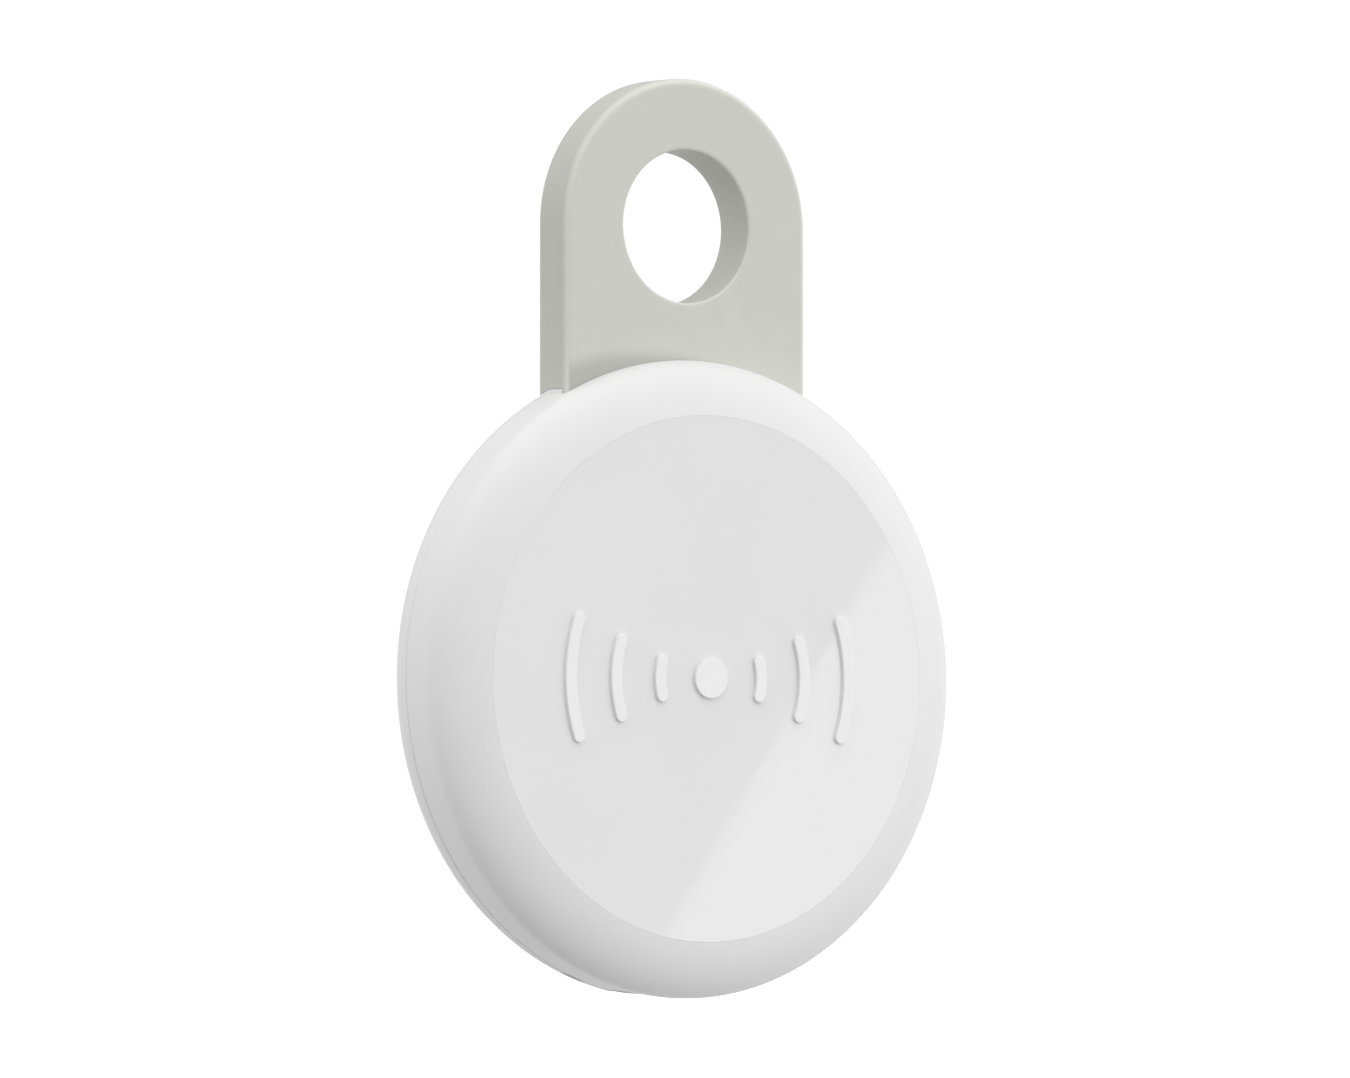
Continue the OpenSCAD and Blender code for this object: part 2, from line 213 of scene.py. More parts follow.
def grid_faces(rows, columns, close_rows=False, close_columns=False):
    """Quads between the points of a grid, numbered row by row."""
    faces = []
    for i in range(rows if close_rows else rows - 1):
        for j in range(columns if close_columns else columns - 1):
            a, b = i * columns + j, i * columns + (j + 1) % columns
            c, d = ((i + 1) % rows) * columns + (j + 1) % columns, ((i + 1) % rows) * columns + j
            faces.append((a, b, c, d))
    return faces


def case_point(radius, angle, height):
    """A point of the frame from its radius, angle and height on the case."""
    return Vector((radius * math.cos(angle), -height, CASE_Z + radius * math.sin(angle)))


def lathe(name, outline, steps=LATHE_STEPS):
    """Turns a closed outline of (radius, height) points about the case's axis."""
    points = []
    for i in range(steps):
        angle = 2 * math.pi * (i + 0.5) / steps
        points += [case_point(r, angle, h) for r, h in outline]
    return new_piece(name, points, grid_faces(steps, len(outline), True, True))


def oblong_ring(width, height, arc_steps=20):
    """Points (across, up) round an oblong with round ends, centred on zero."""
    reach, radius = (width - height) / 2, height / 2
    ring = []
    for side in (1, -1):
        for k in range(arc_steps + 1):
            turn = math.pi * (k / arc_steps - 0.5)
            ring.append((side * (reach + radius * math.cos(turn)), side * radius * math.sin(turn)))
    return ring


def tube_faces(rings, count):
    """Faces of a tube through rings of count points each, closed at both ends."""
    faces = grid_faces(rings, count, False, True)
    return faces + [tuple(range(count)), tuple(range(count * (rings - 1), count * rings))]


def closed_tube(name, points, count):
    """A tube through rings of count points each, closed at both ends."""
    return new_piece(name, points, tube_faces(len(points) // count, count))


def oblong_cutter(name, width, height, stations, place):
    """A cutter along an oblong: stations are (distance, growth), place maps to the frame."""
    points = []
    for distance, growth in stations:
        ring = oblong_ring(width + 2 * growth, height + 2 * growth)
        points += [place(distance, across, up) for across, up in ring]
    return closed_tube(name, points, len(ring))


# ---------------------------------------------------------------- case

def arc_points(point_at, start, end, steps):
    """Points of a rounding, by angle in degrees."""
    return [point_at(math.radians(start + (end - start) * k / steps)) for k in range(steps + 1)]


def front_round(t):
    """Point of the rim's rounding round the face."""
    start = math.radians(FRONT_ROUND_START)
    a = FRONT_ROUND_W / (1 - math.sin(start))
    b = FRONT_ROUND_H / math.cos(start)
    return CASE_R - a + a * math.sin(t), FRONT_H - FRONT_ROUND_H + b * math.cos(t)


def back_round(t):
    """Point of the softer rounding round the back."""
    return CASE_R - BACK_ROUND_W * (1 - math.cos(t)), BACK_H + BACK_ROUND_H * (1 - math.sin(t))


def front_outline():
    """Section of the front shell: seam, side, rounding, lip, ledge for the face."""
    inner_r = CASE_R - WALL
    rounding = arc_points(front_round, 90, FRONT_ROUND_START + 0.8, 48)
    return [
        (inner_r, SEAM_H), (CASE_R - SEAM, SEAM_H),
        (CASE_R, SEAM_H + SEAM), (CASE_R, 0.4 * MM), *rounding,
        (FACE_OPENING_R + 0.2 * CRISP_EDGE, FRONT_H - 0.3 * CRISP_EDGE),
        (FACE_OPENING_R, FRONT_H - CRISP_EDGE), (FACE_OPENING_R, LIP_H),
        (POCKET_R, LIP_H), (POCKET_R, SHELF_H), (SHELF_R, SHELF_H),
        (SHELF_R, SHELF_H - SHELF_T), (inner_r, SHELF_H - SHELF_T),
    ]


def back_outline():
    """Section of the back shell, from the floor's middle round to the inner wall."""
    floor_h = BACK_H + FLOOR_T
    inner_r = CASE_R - WALL
    flat_r = CASE_R - BACK_ROUND_W
    rounding = arc_points(back_round, 90, 0, 48)
    return [
        (0, floor_h), (0, BACK_H), (flat_r * 0.5, BACK_H), (flat_r * 0.97, BACK_H), *rounding,
        (CASE_R, SEAM_H - 0.2 * MM), (CASE_R, SEAM_H - SEAM),
        (CASE_R - SEAM, SEAM_H), (inner_r, SEAM_H),
        (inner_r, -1.7 * MM), (inner_r - 0.9 * MM, floor_h),
    ]


def slot_cutter():
    """The room for the strap between the shells, with a rail left standing at both ends."""
    w, t = STRAP_W + STRAP_GAP, STRAP_H + STRAP_GAP

    def corner(turn):
        return w - STRAP_EDGE * (1 - math.cos(turn)), t - STRAP_EDGE * (1 - math.sin(turn))

    # The strap's rounded edge starts lower than the rail's flank, so only its upper part is used
    first = math.degrees(math.asin(1 - (t - RAIL_HALF_T) / STRAP_EDGE))
    quarter = [(w - RAIL_IN, RAIL_HALF_T), *arc_points(corner, first, 90, 8)]
    outline = quarter + [(-x, y) for x, y in reversed(quarter)]
    outline += [(-x, -y) for x, y in quarter] + [(x, -y) for x, y in reversed(quarter)]
    points = [(x, y, z) for z in (root_low.z, CASE_Z + CASE_R + MM) for x, y in outline]
    return closed_tube("slot_cutter", points, len(outline))


def rail_levels():
    """Heights of a rail's flat top and of the rim beside the strap."""
    top = CASE_Z + math.sqrt(CASE_R ** 2 - (STRAP_W - RAIL_IN) ** 2)
    return top, CASE_Z + math.sqrt(CASE_R ** 2 - STRAP_W ** 2)


def across_slot(name, side, inner, outer, outline):
    """A solid from inner to outer along X, on one side of the strap, from its (y, z) outline."""
    points = [(side * x, y, z) for x in (inner, outer) for y, z in outline]
    return closed_tube(name, points, len(outline))


def rail_cap(side, facing):
    """One shell's half of the top that brings a rail level with the strap's side."""
    top, rim = rail_levels()
    end = facing * RAIL_HALF_T
    outline = [
        (SEAM_H, rim - MM), (SEAM_H, top - SEAM), (SEAM_H + facing * SEAM, top),
        (end, top), (end, rim - MM),
    ]
    outline = [(-height, z) for height, z in outline]
    return across_slot("rail_cap", side, STRAP_W - RAIL_IN - 0.1 * MM, STRAP_W, outline)


def ramp_cutter(side):
    """What the rail's top leaves open where it slopes down at the back."""
    top, rim = rail_levels()
    half_t = RAIL_HALF_T + STRAP_GAP
    outline = [(RAMP_START, top), (half_t, rim), (half_t, top + MM), (RAMP_START, top + MM)]
    return across_slot("ramp_cutter", side, STRAP_W - RAIL_IN - STRAP_GAP, STRAP_W + 0.2 * MM, outline)


def rail_cutter(side):
    """The groove that a rail needs in the strap's side."""
    top, rim = (level + STRAP_GAP for level in rail_levels())
    half_t, low = RAIL_HALF_T + STRAP_GAP, root_low.z - MM
    outline = [(-half_t, low), (-half_t, top), (RAMP_START, top), (half_t, rim), (half_t, low)]
    return across_slot("rail_cutter", side, STRAP_W - RAIL_IN, STRAP_W + 0.2 * MM, outline)


def socket_width():
    """Outer width of the socket's shell, without its legs."""
    mouth = [v.co.x for v in frame["nodes"]["usb_shell"].data.vertices if v.co.z < port_low.z + 1e-6]
    return max(mouth) - min(mouth)


def port_cutter():
    """The charging port's opening, with a softened edge that follows the rim."""
    soft = 0.1 * MM

    def place(depth, across, up):
        rim_z = CASE_Z - math.sqrt(CASE_R ** 2 - across ** 2)
        return across, up, min(rim_z + depth, port_high.z)

    steps = 6
    stations = [(-0.6 * MM, soft)]
    for k in range(steps + 1):
        turn = math.pi / 2 * k / steps
        stations.append((soft * math.sin(turn), soft * (1 - math.sin(turn)) ** 2))
    stations.append((CASE_R / 2, 0))
    return oblong_cutter("port_cutter", PORT_W, PORT_H, stations, place)


def socket_cutter():
    """The wider room for the socket, behind the port's opening."""
    gap = 0.1 * MM
    stations = [(port_low.z - 0.05 * MM, gap), (port_high.z, gap)]
    return oblong_cutter("socket_cutter", socket_width(), SOCKET_H, stations, lambda z, x, y: (x, y, z))


def vent_cutter():
    """The small sound opening through the back shell's rim, up to the seam."""
    angle = math.radians(VENT_ANGLE)
    outward = Vector((math.cos(angle), 0, math.sin(angle)))
    along = Vector((-math.sin(angle), 0, math.cos(angle)))
    centre = Vector((0, -VENT_H, CASE_Z))
    stations = [
        (CASE_R + 0.4 * MM, 0.12 * MM), (CASE_R, 0.1 * MM), (CASE_R - 0.04 * MM, 0.04 * MM),
        (CASE_R - 0.12 * MM, 0), (CASE_R - WALL - 0.3 * MM, 0),
    ]

    def place(distance, across, up):
        return centre + outward * distance + along * across + Vector((0, up, 0))

    return oblong_cutter("vent_cutter", VENT_W, VENT_T, stations, place)


def make_front_shell():
    piece = lathe("case_front", front_outline())
    carve(piece, [rail_cap(1, 1), rail_cap(-1, 1)], "UNION")
    carve(piece, [slot_cutter(), port_cutter(), socket_cutter()])
    soften(piece, 30)
    finish_piece(piece, "case", "case_white", ["front_shell"])


def make_back_shell():
    piece = lathe("case_back", back_outline())
    carve(piece, [rail_cap(1, -1), rail_cap(-1, -1)], "UNION")
    carve(piece, [slot_cutter(), port_cutter(), socket_cutter(), vent_cutter()])
    carve(piece, [ramp_cutter(1), ramp_cutter(-1)])
    soften(piece, 30)
    finish_piece(piece, "case", "case_white", ["back_shell"])


# ---------------------------------------------------------------- face

def face_outline():
    """Section of the face that is pressed: glossy top, crisp edge, hidden flange and nub."""
    edge = CRISP_EDGE
    radius = FACE_OPENING_R - FACE_GAP
    flange_r = face_high.x
    nub_low = -face_high.y
    return [
        (0, FRONT_H), (radius * 0.6, FRONT_H), (radius - 2 * edge, FRONT_H), (radius - edge, FRONT_H),
        (radius - 0.6 * edge, FRONT_H - 0.08 * edge), (radius - 0.2 * edge, FRONT_H - 0.35 * edge),
        (radius, FRONT_H - edge), (radius, FLANGE_TOP_H), (flange_r, FLANGE_TOP_H),
        (flange_r, FLANGE_LOW_H), (RECESS_R, FLANGE_LOW_H), (RECESS_R, RECESS_H),
        (NUB_R, RECESS_H), (NUB_R, nub_low), (0, nub_low),
    ]


def gasket_outline():
    """Section of the soft ring under the face's flange, with a waist that folds when pressed."""
    low, high = -gasket_high.y, -gasket_low.y
    inner_r, outer_r = FACE_OPENING_R - 0.13 * MM, gasket_high.x
    edge, waist, middle = 0.06 * MM, 0.07 * MM, (low + high) / 2
    outside = [
        (outer_r - edge, low), (outer_r, low + edge), (outer_r - waist, middle),
        (outer_r, high - edge), (outer_r - edge, high),
    ]
    inside = [
        (inner_r + edge, high), (inner_r, high - edge), (inner_r + waist, middle),
        (inner_r, low + edge), (inner_r + edge, low),
    ]
    return outside + inside


def dome_outline():
    """Section of the switch's thin sprung dome."""
    foot, shell = -dome_high.y, 0.05 * MM
    rise = -dome_low.y - shell - foot
    radius, steps = dome_high.x, 12
    under = [(radius * k / steps, foot + rise * (1 - (k / steps) ** 2)) for k in range(steps + 1)]
    return under + [(r, height + shell) for r, height in reversed(under)]


def bent_capsule(radius, half_angle, half_w, turned):
    """Outline of an arc-shaped band with round ends, (across, up) on the face."""
    steps, cap_steps = 28, 10
    points = []

    def add_arc(r, first, last):
        for k in range(steps + 1):
            angle = first + (last - first) * k / steps
            points.append((r * math.cos(angle), r * math.sin(angle)))

    def add_cap(end, start):
        for k in range(1, cap_steps):
            turn = start + math.pi * k / cap_steps
            across = radius * math.cos(end) + half_w * math.cos(turn)
            points.append((across, radius * math.sin(end) + half_w * math.sin(turn)))

    add_arc(radius + half_w, -half_angle, half_angle)
    add_cap(half_angle, half_angle)
    add_arc(radius - half_w, half_angle, -half_angle)
    add_cap(-half_angle, math.pi - half_angle)
    return [(turned * across, up) for across, up in points]


def disc_ring(radius, steps=72):
    """Outline of a disc, (across, up) on the face."""
    return [
        (radius * math.cos(2 * math.pi * k / steps), radius * math.sin(2 * math.pi * k / steps))
        for k in range(steps)
    ]


def raised_shape(ring_at, top):
    """Points and faces of a low raised shape with a soft upper edge."""
    foot = FRONT_H - 0.02 * MM
    steps = 5
    levels = [(0, foot), (0, top - SIGN_EDGE)]
    for k in range(1, steps + 1):
        turn = math.pi / 2 * k / steps
        levels.append((SIGN_EDGE * (1 - math.cos(turn)), top - SIGN_EDGE * (1 - math.sin(turn))))
    levels.append((SIGN_EDGE * 1.4, top))
    points = []
    for inset, height in levels:
        points += [(across, -height, CASE_Z + up) for across, up in ring_at(inset)]
    return points, tube_faces(len(levels), len(ring_at(0)))


def make_face():
    piece = lathe("face_cover", face_outline())
    soften(piece, 40)
    finish_piece(piece, "face", "face_gloss", ["face_plate"])


def make_gasket():
    """The soft ring that gives way under the face's flange."""
    piece = lathe("face_seal", gasket_outline())
    soften(piece, 60)
    finish_piece(piece, "case", "seal_silicone", ["face_gasket"])
    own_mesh(piece)


def make_dome():
    """The sprung dome that snaps flat under the plunger."""
    piece = lathe("snap_dome", dome_outline(), 96)
    soften(piece, 40)
    finish_piece(piece, "case", "tinned_steel", ["switch_dome"])
    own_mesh(piece)


def make_sign():
    """The generic raised sign: a dot with arcs spreading to both sides."""
    top = -face_low.y
    half_angle = math.radians(SIGN_HALF_ANGLE)
    shapes = [lambda inset: disc_ring(SIGN_DOT_R - inset)]
    for radius in SIGN_RADII:
        end = half_angle - SIGN_HALF_W / radius
        for turned in (1, -1):
            shapes.append(
                lambda inset, r=radius, a=end, t=turned: bent_capsule(r, a, SIGN_HALF_W - inset, t)
            )
    points, faces = [], []
    for ring_at in shapes:
        shape_points, shape_faces = raised_shape(ring_at, top)
        offset = len(points)
        points += shape_points
        faces += [tuple(offset + i for i in face) for face in shape_faces]
    piece = new_piece("face_sign", points, faces)
    soften(piece, 50)
    finish_piece(piece, "face", "face_gloss", ["face_plate"], "face_sign")


# ---------------------------------------------------------------- strap

def strap_outline(inset):
    """The strap's outline, moved in by inset: (x, z) points with the arc at the top."""
    half_w = STRAP_W - inset
    foot = root_low.z + inset
    foot_steps, side_steps, arc_steps = 60, 80, 160
    points = []
    for k in range(foot_steps):
        points.append((-half_w + 2 * half_w * k / foot_steps, foot))
    for k in range(side_steps):
        points.append((half_w, foot - foot * k / side_steps))
    for k in range(arc_steps):
        turn = math.pi * k / arc_steps
        points.append((half_w * math.cos(turn), half_w * math.sin(turn)))
    for k in range(side_steps):
        points.append((-half_w, foot * k / side_steps))
    return points


def hole_outline(inset, outer):
    """The hole's outline, widened by inset, one point facing each outer point."""
    ring = []
    for x, z in outer:
        length = math.hypot(x, z)
        ring.append((x / length * (HOLE_R + inset), z / length * (HOLE_R + inset)))
    return ring


def strap_half():
    """Rings of the strap's surface from its side, over the front, to the hole's wall."""
    outer = strap_outline(0)
    rings = [(outer, 0)]
    fillet_steps, face_steps, hole_steps = 8, 26, 5
    for k in range(fillet_steps + 1):
        turn = math.pi / 2 * k / fillet_steps
        inset = STRAP_EDGE * (1 - math.cos(turn))
        rings.append((strap_outline(inset), STRAP_H - STRAP_EDGE * (1 - math.sin(turn))))
    border = strap_outline(STRAP_EDGE + 0.05 * MM)
    inner = hole_outline(HOLE_EDGE + 0.04 * MM, outer)
    for k in range(face_steps + 1):
        part = k / face_steps
        ring = [
            (bx + (ix - bx) * part, bz + (iz - bz) * part)
            for (bx, bz), (ix, iz) in zip(border, inner)
        ]
        rings.append((ring, STRAP_H))
    for k in range(hole_steps + 1):
        turn = math.pi / 2 * k / hole_steps
        inset = HOLE_EDGE * (1 - math.sin(turn))
        rings.append((hole_outline(inset, outer), STRAP_H - HOLE_EDGE * (1 - math.cos(turn))))
    rings.append((hole_outline(0, outer), 0))
    return rings


def make_strap():
    """One soft moulding from its root in the case to the loop, with a key ring hole."""
    half = strap_half()
    rings = [(ring, -depth) for ring, depth in half]
    rings += [(ring, depth) for ring, depth in reversed(half[1:-1])]
    points = [(x, y, z) for ring, y in rings for x, z in ring]
    piece = new_piece("strap", points, grid_faces(len(rings), len(half[0][0]), True, True))
    carve(piece, [rail_cutter(1), rail_cutter(-1)])
    soften(piece, 40)
    piece.data.materials.clear()
    piece.data.materials.append(MATERIALS["strap_silicone"])
    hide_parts("strap_root", "strap_loop")
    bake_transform(piece)


# ---------------------------------------------------------------- materials

def new_material(name):
    """An empty node material: (material, nodes, link, shader, coordinates)."""
    material = bpy.data.materials.new(name)
    material.use_nodes = True
    nodes, links = material.node_tree.nodes, material.node_tree.links
    shader = nodes["Principled BSDF"]
    coordinates = nodes.new("ShaderNodeTexCoord").outputs["Object"]
    return material, nodes, links.new, shader, coordinates


def noise(nodes, link, coordinates, size, detail=4.0):
    """Noise whose features are about size across, in metres."""
    texture = nodes.new("ShaderNodeTexNoise")
    texture.inputs["Scale"].default_value = 1 / size
    texture.inputs["Detail"].default_value = detail
    link(coordinates, texture.inputs["Vector"])
    return texture.outputs["Fac"]


def ramp(nodes, link, value, low, high, start=0.3, end=0.7):
    """Maps a value that runs from start to end to a number that runs from low to high."""
    node = nodes.new("ShaderNodeMapRange")
    node.inputs["From Min"].default_value = start
    node.inputs["From Max"].default_value = end
    node.inputs["To Min"].default_value = low
    node.inputs["To Max"].default_value = high
    link(value, node.inputs["Value"])
    return node.outputs["Result"]


def mixed_colour(nodes, link, value, first, second):
    """A colour between two, by a value from 0 to 1."""
    node = nodes.new("ShaderNodeMix")
    node.data_type = "RGBA"
    node.inputs["A"].default_value = (*first, 1)
    node.inputs["B"].default_value = (*second, 1)
    link(value, node.inputs["Factor"])
    return node.outputs["Result"]


def scaled(nodes, link, colour, factor):
    """A colour multiplied by a number."""
    node = nodes.new("ShaderNodeVectorMath")
    node.operation = "SCALE"
    link(colour, node.inputs[0])
    link(factor, node.inputs["Scale"])
    return node.outputs["Vector"]


def bump(nodes, link, shader, value, depth, strength=1.0):
    """Fine relief of the given depth, in metres."""
    node = nodes.new("ShaderNodeBump")
    node.inputs["Distance"].default_value = depth
    node.inputs["Strength"].default_value = strength
    link(value, node.inputs["Height"])
    link(node.outputs["Normal"], shader.inputs["Normal"])


def moulded(name, colour, roughness, spread=0.02, grain=0.12 * MM, depth=0.004 * MM, tint=0.03):
    """Moulded plastic, rubber or ceramic: fine grain, and slight mottling of colour and gloss."""
    material, nodes, link, shader, coordinates = new_material(name)
    fine = noise(nodes, link, coordinates, grain)
    broad = noise(nodes, link, coordinates, 3 * MM, 2.0)
    darker = [c * (1 - tint) for c in colour]
    mottled = mixed_colour(nodes, link, ramp(nodes, link, broad, 0, 1), darker, colour)
    link(mottled, shader.inputs["Base Color"])
    link(ramp(nodes, link, fine, roughness - spread, roughness + spread), shader.inputs["Roughness"])
    bump(nodes, link, shader, fine, depth)
    return material


def brushed(name, colour, roughness, stretch=(1, 12, 1)):
    """Plated or brushed metal with a fine drawn grain."""
    material, nodes, link, shader, coordinates = new_material(name)
    mapping = nodes.new("ShaderNodeMapping")
    mapping.inputs["Scale"].default_value = stretch
    link(coordinates, mapping.inputs["Vector"])
    lines = noise(nodes, link, mapping.outputs["Vector"], 0.3 * MM, 6.0)
    darker = [c * 0.85 for c in colour]
    link(mixed_colour(nodes, link, lines, darker, colour), shader.inputs["Base Color"])
    link(ramp(nodes, link, lines, roughness * 0.7, roughness * 1.3), shader.inputs["Roughness"])
    shader.inputs["Metallic"].default_value = 1.0
    bump(nodes, link, shader, lines, 0.002 * MM)
    return material


def glossy_face():
    """High-gloss moulded white with the faintest unevenness in its polish."""
    material, nodes, link, shader, coordinates = new_material("face_gloss")
    broad = noise(nodes, link, coordinates, 6 * MM, 1.0)
    colour = mixed_colour(nodes, link, broad, (0.80, 0.80, 0.80), (0.815, 0.815, 0.815))
    link(colour, shader.inputs["Base Color"])
    link(ramp(nodes, link, broad, 0.015, 0.03), shader.inputs["Roughness"])
    return material


def silicone():
    """Soft matt silicone: fine grain, a slight glow inside, a painted highlight on the edges, painted
    shade on the sides and a painted shadow on the foot.
    """
    material, nodes, link, shader, coordinates = new_material("strap_silicone")
    fine = noise(nodes, link, coordinates, 0.08 * MM)
    broad = noise(nodes, link, coordinates, 2.5 * MM, 3.0)
    mottling = ramp(nodes, link, broad, 0, 1)
    tone = mixed_colour(nodes, link, mottling, (0.625, 0.635, 0.585), (0.64, 0.65, 0.60))
    normal = nodes.new("ShaderNodeSeparateXYZ")
    link(nodes.new("ShaderNodeTexCoord").outputs["Normal"], normal.inputs["Vector"])
    flatness = nodes.new("ShaderNodeMath")
    flatness.operation = "ABSOLUTE"
    link(normal.outputs["Y"], flatness.inputs[0])
    # Painted shade and highlight by facing: the sides and the hole's wall darker, the rounded edges
    # paler, the flat faces a little dimmer than the edges
    painted_side_shade_and_edge_highlight = ramp(nodes, link, flatness.outputs["Value"], 0.85, 1.09, 0.15, 0.75)
    faces = ramp(nodes, link, flatness.outputs["Value"], 1, 0.93, 0.85, 0.98)
    # Painted shadow of the case's rim: the foot is dimmer on the left, inside a circle like the case's
    # but moved up and to the left
    to_shade = nodes.new("ShaderNodeVectorMath")
    to_shade.operation = "DISTANCE"
    to_shade.inputs[1].default_value = Vector((0, -STRAP_H, CASE_Z)) + STRAP_PAINTED_SHADOW_SHIFT
    link(coordinates, to_shade.inputs[0])
    inner, outer = CASE_R - 0.9 * MM, CASE_R + 0.3 * MM
    painted_foot_shadow = ramp(nodes, link, to_shade.outputs["Value"], 0.71, 0.93, inner, outer)
    painted_foot_shadow.node.interpolation_type = "SMOOTHSTEP"
    link(painted_foot_shadow, faces.node.inputs["To Max"])
    tone = scaled(nodes, link, scaled(nodes, link, tone, painted_side_shade_and_edge_highlight), faces)
    link(tone, shader.inputs["Base Color"])
    link(ramp(nodes, link, fine, 0.6, 0.7), shader.inputs["Roughness"])
    shader.inputs["Specular IOR Level"].default_value = 0.2
    shader.inputs["Subsurface Weight"].default_value = 0.3
    shader.inputs["Subsurface Radius"].default_value = (1, 1, 0.9)
    shader.inputs["Subsurface Scale"].default_value = 0.4 * MM
    bump(nodes, link, shader, fine, 0.005 * MM)
    return material


def laminate():
    """Green circuit board: solder mask over a faint pattern of copper tracks."""
    material, nodes, link, shader, coordinates = new_material("board_laminate")
    tracks = nodes.new("ShaderNodeTexBrick")
    tracks.inputs["Scale"].default_value = 1 / (2.2 * MM)
    tracks.inputs["Mortar Size"].default_value = 0.06
    swapped = nodes.new("ShaderNodeMapping")
    swapped.inputs["Rotation"].default_value = (math.pi / 2, 0, 0)
    link(coordinates, swapped.inputs["Vector"])
    link(swapped.outputs["Vector"], tracks.inputs["Vector"])
    green = mixed_colour(nodes, link, tracks.outputs["Fac"], (0.02, 0.16, 0.06), (0.05, 0.28, 0.11))
    link(green, shader.inputs["Base Color"])
    shader.inputs["Roughness"].default_value = 0.3
    bump(nodes, link, shader, tracks.outputs["Fac"], 0.03 * MM)
    return material


def woven(name, colour):
    """Fine woven membrane."""
    material, nodes, link, shader, coordinates = new_material(name)
    weave = nodes.new("ShaderNodeTexVoronoi")
    weave.inputs["Scale"].default_value = 1 / (0.12 * MM)
    link(coordinates, weave.inputs["Vector"])
    value = weave.outputs["Distance"]
    threads = mixed_colour(nodes, link, value, [c * 0.4 for c in colour], colour)
    link(threads, shader.inputs["Base Color"])
    shader.inputs["Roughness"].default_value = 0.85
    bump(nodes, link, shader, value, 0.03 * MM)
    return material


def make_materials():
    """One material for each slot of the record."""
    return {
        "case_white": moulded("case_white", (0.80, 0.80, 0.80), 0.42, 0.03, 0.1 * MM, 0.0015 * MM, 0.01),
        "face_gloss": glossy_face(),
        "face_sign": moulded("face_sign", (0.87, 0.87, 0.87), 0.35, 0.03, 0.1 * MM, 0.001 * MM, 0.01),
        "strap_silicone": silicone(),
        "seal_silicone": moulded("seal_silicone", (0.62, 0.62, 0.62), 0.6, 0.05),
        "anchor_nylon": moulded("anchor_nylon", (0.12, 0.13, 0.15), 0.55, 0.05),
        "frame_plastic": moulded("frame_plastic", (0.02, 0.02, 0.022), 0.5, 0.08),
        "board_laminate": laminate(),
        "chip_plastic": moulded("chip_plastic", (0.012, 0.012, 0.014), 0.55, 0.08),
        "tinned_steel": brushed("tinned_steel", (0.62, 0.62, 0.64), 0.28),
        "white_ceramic": moulded("white_ceramic", (0.72, 0.71, 0.66), 0.5, 0.06),
        "tan_ceramic": moulded("tan_ceramic", (0.34, 0.22, 0.1), 0.5, 0.08, tint=0.2),
        "dark_ferrite": moulded("dark_ferrite", (0.03, 0.03, 0.032), 0.6, 0.08),
        "light_resin": moulded("light_resin", (0.75, 0.7, 0.42), 0.15, 0.03),
        "cell_winding": moulded("cell_winding", (0.09, 0.035, 0.012), 0.4, 0.1, tint=0.3),
        "insulating_paper": moulded("insulating_paper", (0.55, 0.47, 0.24), 0.8, 0.05, tint=0.15),
        "sounder_brass": brushed("sounder_brass", (0.75, 0.52, 0.2), 0.3),
        "amber_film": moulded("amber_film", (0.5, 0.19, 0.02), 0.25, 0.05, tint=0.15),
        "vent_fabric": woven("vent_fabric", (0.04, 0.04, 0.042)),
        "contact_gold": brushed("contact_gold", (0.9, 0.62, 0.22), 0.22),
    }


def finish_piece(piece, body, slot, replaced, material=None):
    """Gives a piece the material of its slot, or the one named, puts it on its body and hides the CAD
    nodes that it stands for.
    """
    piece.data.materials.clear()
    piece.data.materials.append(MATERIALS[material or slot])
    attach(piece, body)
    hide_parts(*replaced)
    return piece


def dress_cad_nodes():
    """Gives every CAD node that stays its slot's material and softened edges."""
    slots = {s["node"]: s["material_slot"] for s in frame["record"]["subparts"]}
    for name, node in frame["nodes"].items():
        node.data.materials.clear()
        node.data.materials.append(MATERIALS[slots[name]])
        soften(node, 30)


# ---------------------------------------------------------------- stage

def direction(azimuth, elevation):
    """Unit vector towards a viewer at that azimuth and elevation, in degrees."""
    a, e = math.radians(azimuth), math.radians(elevation)
    return Vector((math.sin(a) * math.cos(e), -math.cos(a) * math.cos(e), math.sin(e)))


def facing(back, roll=0):
    """Rotation of a camera or lamp whose back points along a vector."""
    right = Vector((0, 0, 1)).cross(back).normalized()
    up = back.cross(right)
    turn = Matrix((right, up, back)).transposed()
    return (turn @ Matrix.Rotation(math.radians(roll), 3, "Z")).to_euler()


def make_camera():
    camera = bpy.data.objects.new("camera", bpy.data.cameras.new("camera"))
    bpy.context.scene.collection.objects.link(camera)
    camera.data.lens = CAMERA_LENS
    camera.data.sensor_width = 36
    camera.data.clip_start = 0.01
    back = direction(CAMERA_AZIMUTH, CAMERA_ELEVATION)
    camera.location = CAMERA_AIM + back * CAMERA_DISTANCE
    camera.rotation_euler = facing(back)
    bpy.context.scene.camera = camera


def make_softbox():
    """Softbox whose long edge is mirrored across the glossy face as a diagonal."""
    lamp = bpy.data.lights.new("softbox", "AREA")
    lamp.shape = "RECTANGLE"
    lamp.size = SOFTBOX_LENGTH
    lamp.size_y = SOFTBOX_WIDTH
    lamp.energy = SOFTBOX_RADIANCE * math.pi * SOFTBOX_LENGTH * SOFTBOX_WIDTH
    softbox = bpy.data.objects.new("softbox", lamp)
    softbox.visible_diffuse = False
    bpy.context.scene.collection.objects.link(softbox)
    back = direction(SOFTBOX_AZIMUTH, SOFTBOX_ELEVATION)
    softbox.rotation_euler = facing(back, SOFTBOX_ROLL)
    sideways = softbox.rotation_euler.to_matrix() @ Vector((0, -SOFTBOX_WIDTH / 2, 0))
    face_centre = Vector((0, -FRONT_H, CASE_Z))
    softbox.location = face_centre + back * SOFTBOX_DISTANCE + sideways


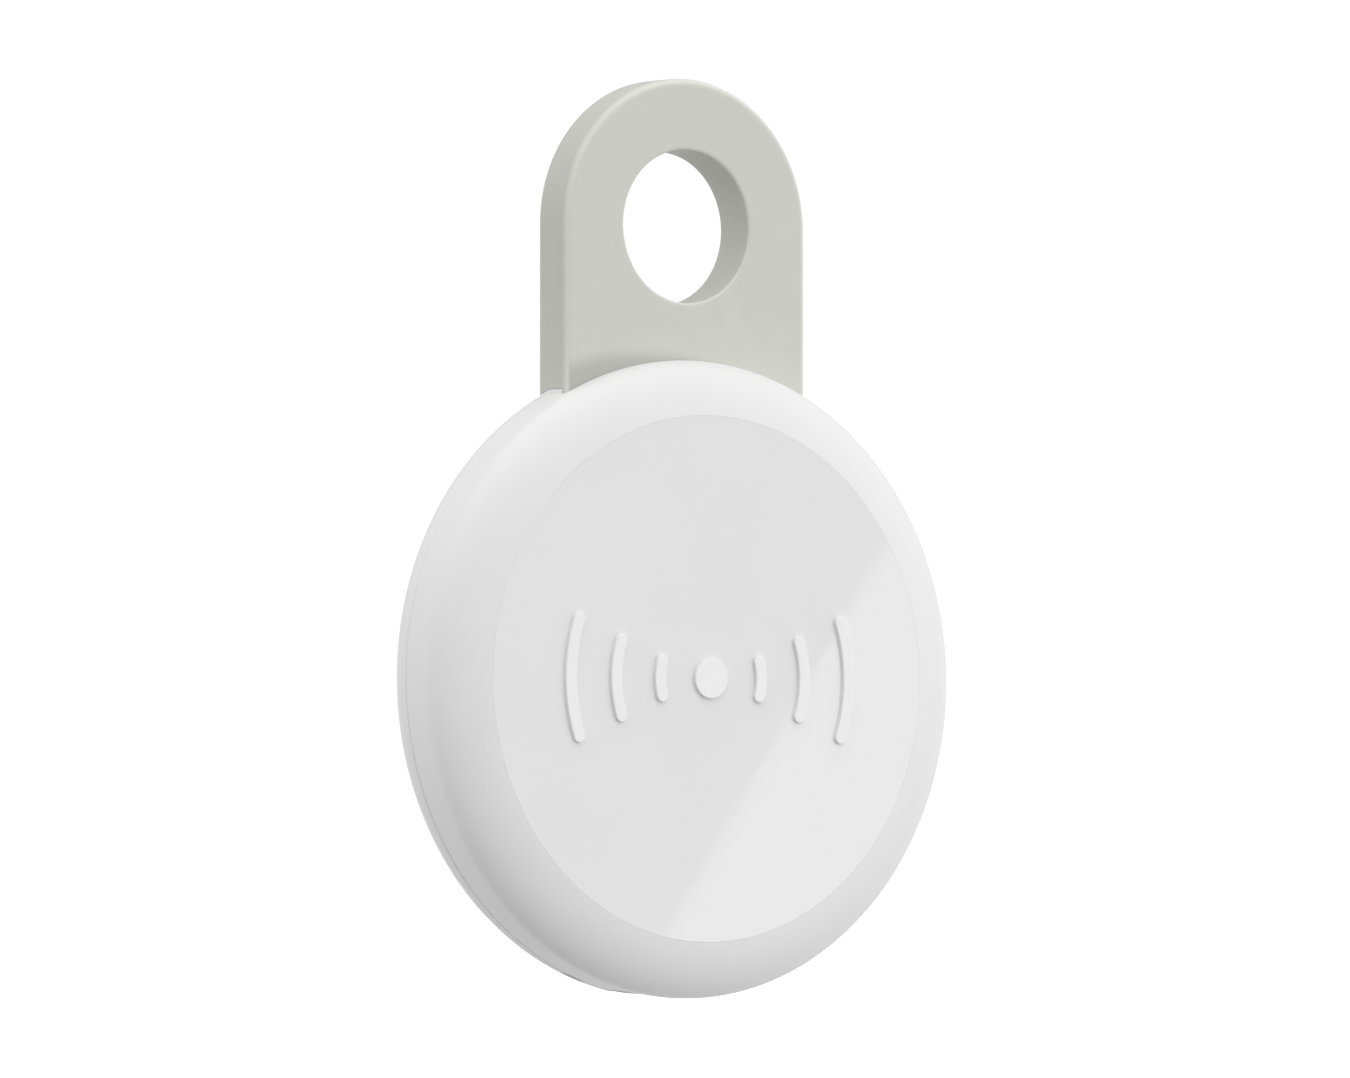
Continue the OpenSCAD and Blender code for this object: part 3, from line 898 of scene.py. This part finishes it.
def make_world():
    """Soft studio light made of a level and broad lobes; plain white to the camera."""
    world = bpy.data.worlds.new("studio")
    bpy.context.scene.world = world
    world.use_nodes = True
    nodes, link = world.node_tree.nodes, world.node_tree.links.new
    towards = nodes.new("ShaderNodeTexCoord").outputs["Generated"]

    def calculate(operation, first, second):
        node = nodes.new("ShaderNodeMath")
        node.operation = operation
        link(first, node.inputs[0])
        if isinstance(second, (int, float)):
            node.inputs[1].default_value = second
        else:
            link(second, node.inputs[1])
        return node.outputs["Value"]

    total = None
    for source, strength in WORLD_LOBES:
        toward = nodes.new("ShaderNodeVectorMath")
        toward.operation = "DOT_PRODUCT"
        toward.inputs[1].default_value = source.normalized()
        link(towards, toward.inputs[0])
        lobe = calculate("POWER", calculate("MAXIMUM", toward.outputs["Value"], 0), 3)
        lobe = calculate("MULTIPLY", lobe, strength)
        total = calculate("ADD", lobe, total if total else WORLD_LEVEL)
    light = nodes["Background"]
    link(total, light.inputs["Strength"])
    light.inputs["Color"].default_value = (1, 1, 1, 1)
    backdrop = nodes.new("ShaderNodeBackground")
    backdrop.inputs["Color"].default_value = (1, 1, 1, 1)
    backdrop.inputs["Strength"].default_value = BACKDROP_LEVEL
    paths = nodes.new("ShaderNodeLightPath")
    chooser = nodes.new("ShaderNodeMixShader")
    link(paths.outputs["Is Camera Ray"], chooser.inputs["Fac"])
    link(light.outputs["Background"], chooser.inputs[1])
    link(backdrop.outputs["Background"], chooser.inputs[2])
    link(chooser.outputs["Shader"], nodes["World Output"].inputs["Surface"])


def make_floor():
    """Plain pale floor, well below the hanging tag; clear when it is seen from underneath."""
    z, reach = back_low.z - FLOOR_DROP, FLOOR_REACH
    corners = [(-reach, -reach, z), (reach, -reach, z), (reach, reach, z), (-reach, reach, z)]
    mesh = bpy.data.meshes.new("floor")
    mesh.from_pydata(corners, [], [(0, 1, 2, 3)])
    floor = bpy.data.objects.new("floor", mesh)
    bpy.context.scene.collection.objects.link(floor)
    material, nodes, link, shader, coordinates = new_material("floor")
    grain = noise(nodes, link, coordinates, 20 * MM)
    pale = mixed_colour(nodes, link, grain, (0.9, 0.9, 0.9), (0.93, 0.93, 0.93))
    link(pale, shader.inputs["Base Color"])
    shader.inputs["Roughness"].default_value = 0.9
    shader.inputs["Emission Color"].default_value = (1, 1, 1, 1)
    shader.inputs["Emission Strength"].default_value = 0.5
    chooser = nodes.new("ShaderNodeMixShader")
    link(nodes.new("ShaderNodeNewGeometry").outputs["Backfacing"], chooser.inputs["Fac"])
    link(shader.outputs["BSDF"], chooser.inputs[1])
    link(nodes.new("ShaderNodeBsdfTransparent").outputs["BSDF"], chooser.inputs[2])
    link(chooser.outputs["Shader"], nodes["Material Output"].inputs["Surface"])
    mesh.materials.append(material)
    floor.visible_diffuse = False
    floor.visible_glossy = False
    floor.visible_shadow = False


def set_view_transform():
    """Plain display of the colours, as a product picture has."""
    bpy.context.scene.view_settings.view_transform = "Standard"
    bpy.context.scene.view_settings.look = "None"


# ---------------------------------------------------------------- scene

MATERIALS = make_materials()
make_camera()
make_softbox()
make_world()
make_floor()
set_view_transform()
dress_cad_nodes()
make_front_shell()
make_back_shell()
make_face()
make_gasket()
make_dome()
make_sign()
make_strap()
